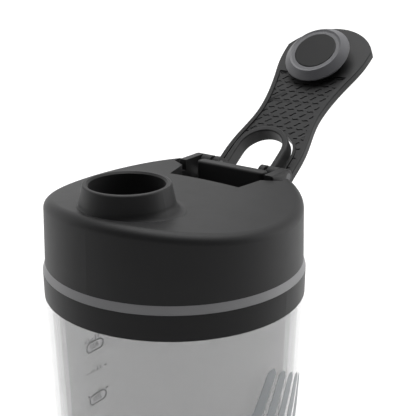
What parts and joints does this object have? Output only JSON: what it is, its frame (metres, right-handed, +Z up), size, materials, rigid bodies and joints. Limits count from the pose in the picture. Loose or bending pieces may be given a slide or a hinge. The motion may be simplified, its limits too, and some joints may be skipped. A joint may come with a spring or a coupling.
{
  "type": "protein shaker bottle",
  "caption": "Double-walled shaker bottle with a screw lid, an off-centre drinking spout, a flip arm that plugs it and a carry loop at the hinge.",
  "frame": {"origin": "centre of the foot pad's underside, on the bottle's axis", "axes": "+Z up along the bottle's axis, -Y towards the spout, +Y towards the hinge, +X along the hinge pins"},
  "size_m": [0.088, 0.1578, 0.2101],
  "materials": {
    "clear_plastic": "clear, glossy",
    "frosted_plastic": "grey, frosted",
    "black_plastic": "satin",
    "soft_black": "fine matt grain",
    "texture_black": "matt with moulded dashes",
    "dark_inner_plastic": "satin",
    "grey_trim": "satin",
    "grey_silicone": "matt",
    "grey_rubber": "matt",
    "grey_print": "flat ink",
    "steel": "drawn"
  },
  "bodies": {
    "bottle": {"outer_shell": "clear_plastic", "inner_cup": "frosted_plastic", "collar_ring": "black_plastic", "base_cap": "black_plastic", "foot_pad": "grey_rubber", "fill_scale": "grey_print", "side_graphic": "grey_print"},
    "lid_seal": {"lid_gasket": "grey_silicone"},
    "lid": {"lid_shell": "soft_black", "lid_liner": "dark_inner_plastic", "trim_ring": "grey_trim", "hinge_guard": "soft_black", "hinge_pins": "steel"},
    "flip_arm": {"flip_arm": "soft_black", "grip_panel": "texture_black", "stopper_post": "black_plastic", "stopper_seal": "grey_silicone", "stopper_plug": "black_plastic"},
    "carry_loop": {"carry_loop": "soft_black"},
    "mixing_grid": {"mixing_grid": "dark_inner_plastic"}
  },
  "joints": [
    {"name": "lid_rise", "type": "slide", "parent": "bottle", "child": "lid_seal", "axis": [0, 0, 1], "range_m": [0, 0.015]},
    {"name": "lid_turn", "type": "hinge", "parent": "lid_seal", "child": "lid", "pos_m": [0, 0, 0.143], "axis": [0, 0, 1], "range_deg": [0, 1080]},
    {"name": "arm_flip", "type": "hinge", "parent": "lid", "child": "flip_arm", "pos_m": [0, 0.0394, 0.1664], "axis": [1, 0, 0], "range_deg": [0, 137.5]},
    {"name": "loop_swing", "type": "hinge", "parent": "lid", "child": "carry_loop", "pos_m": [0, 0.0394, 0.1664], "axis": [1, 0, 0], "range_deg": [0, 137.5]},
    {"name": "grid_unclip", "type": "slide", "parent": "lid", "child": "mixing_grid", "axis": [0, 0, -1], "range_m": [0, 0.012]}
  ],
  "couplings": [
    {"joint": "lid_rise", "follows": "lid_turn", "m_per_rad": 0.00079577}
  ]
}
